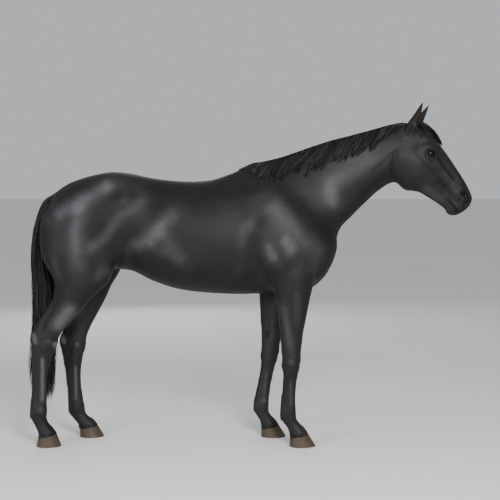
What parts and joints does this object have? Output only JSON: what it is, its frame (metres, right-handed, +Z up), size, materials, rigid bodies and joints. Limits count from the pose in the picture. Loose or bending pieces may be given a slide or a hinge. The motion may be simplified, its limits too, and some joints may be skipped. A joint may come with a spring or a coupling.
{
  "type": "horse figure",
  "caption": "Life-size black horse of thoroughbred type, standing still with its head up, made of solid body parts with hooves, mane and tail.",
  "frame": {"origin": "middle of the animal's bounding box, on the ground under it", "axes": "+X towards the nose, +Y to the horse's left, +Z up; the soles are at z = 0"},
  "size_m": [2.595, 0.5784, 1.9932],
  "materials": {
    "coat": "short black hair, lying flat, with a soft gloss",
    "hair": "long black hair in locks",
    "horn": "brown hoof horn with growth rings",
    "eye": "wet dark brown eye"
  },
  "bodies": {
    "root": {"head": "coat", "neck": "coat", "trunk": "coat", "ear_left": "coat", "ear_right": "coat", "fore_left_forearm": "coat", "fore_left_cannon": "coat", "fore_left_pastern": "coat", "fore_right_forearm": "coat", "fore_right_cannon": "coat", "fore_right_pastern": "coat", "hind_left_thigh": "coat", "hind_left_cannon": "coat", "hind_left_pastern": "coat", "hind_right_thigh": "coat", "hind_right_cannon": "coat", "hind_right_pastern": "coat", "mane": "hair", "forelock": "hair", "tail": "hair", "fore_left_hoof": "horn", "fore_right_hoof": "horn", "hind_left_hoof": "horn", "hind_right_hoof": "horn", "eye_left": "eye", "eye_right": "eye"}
  },
  "joints": []
}
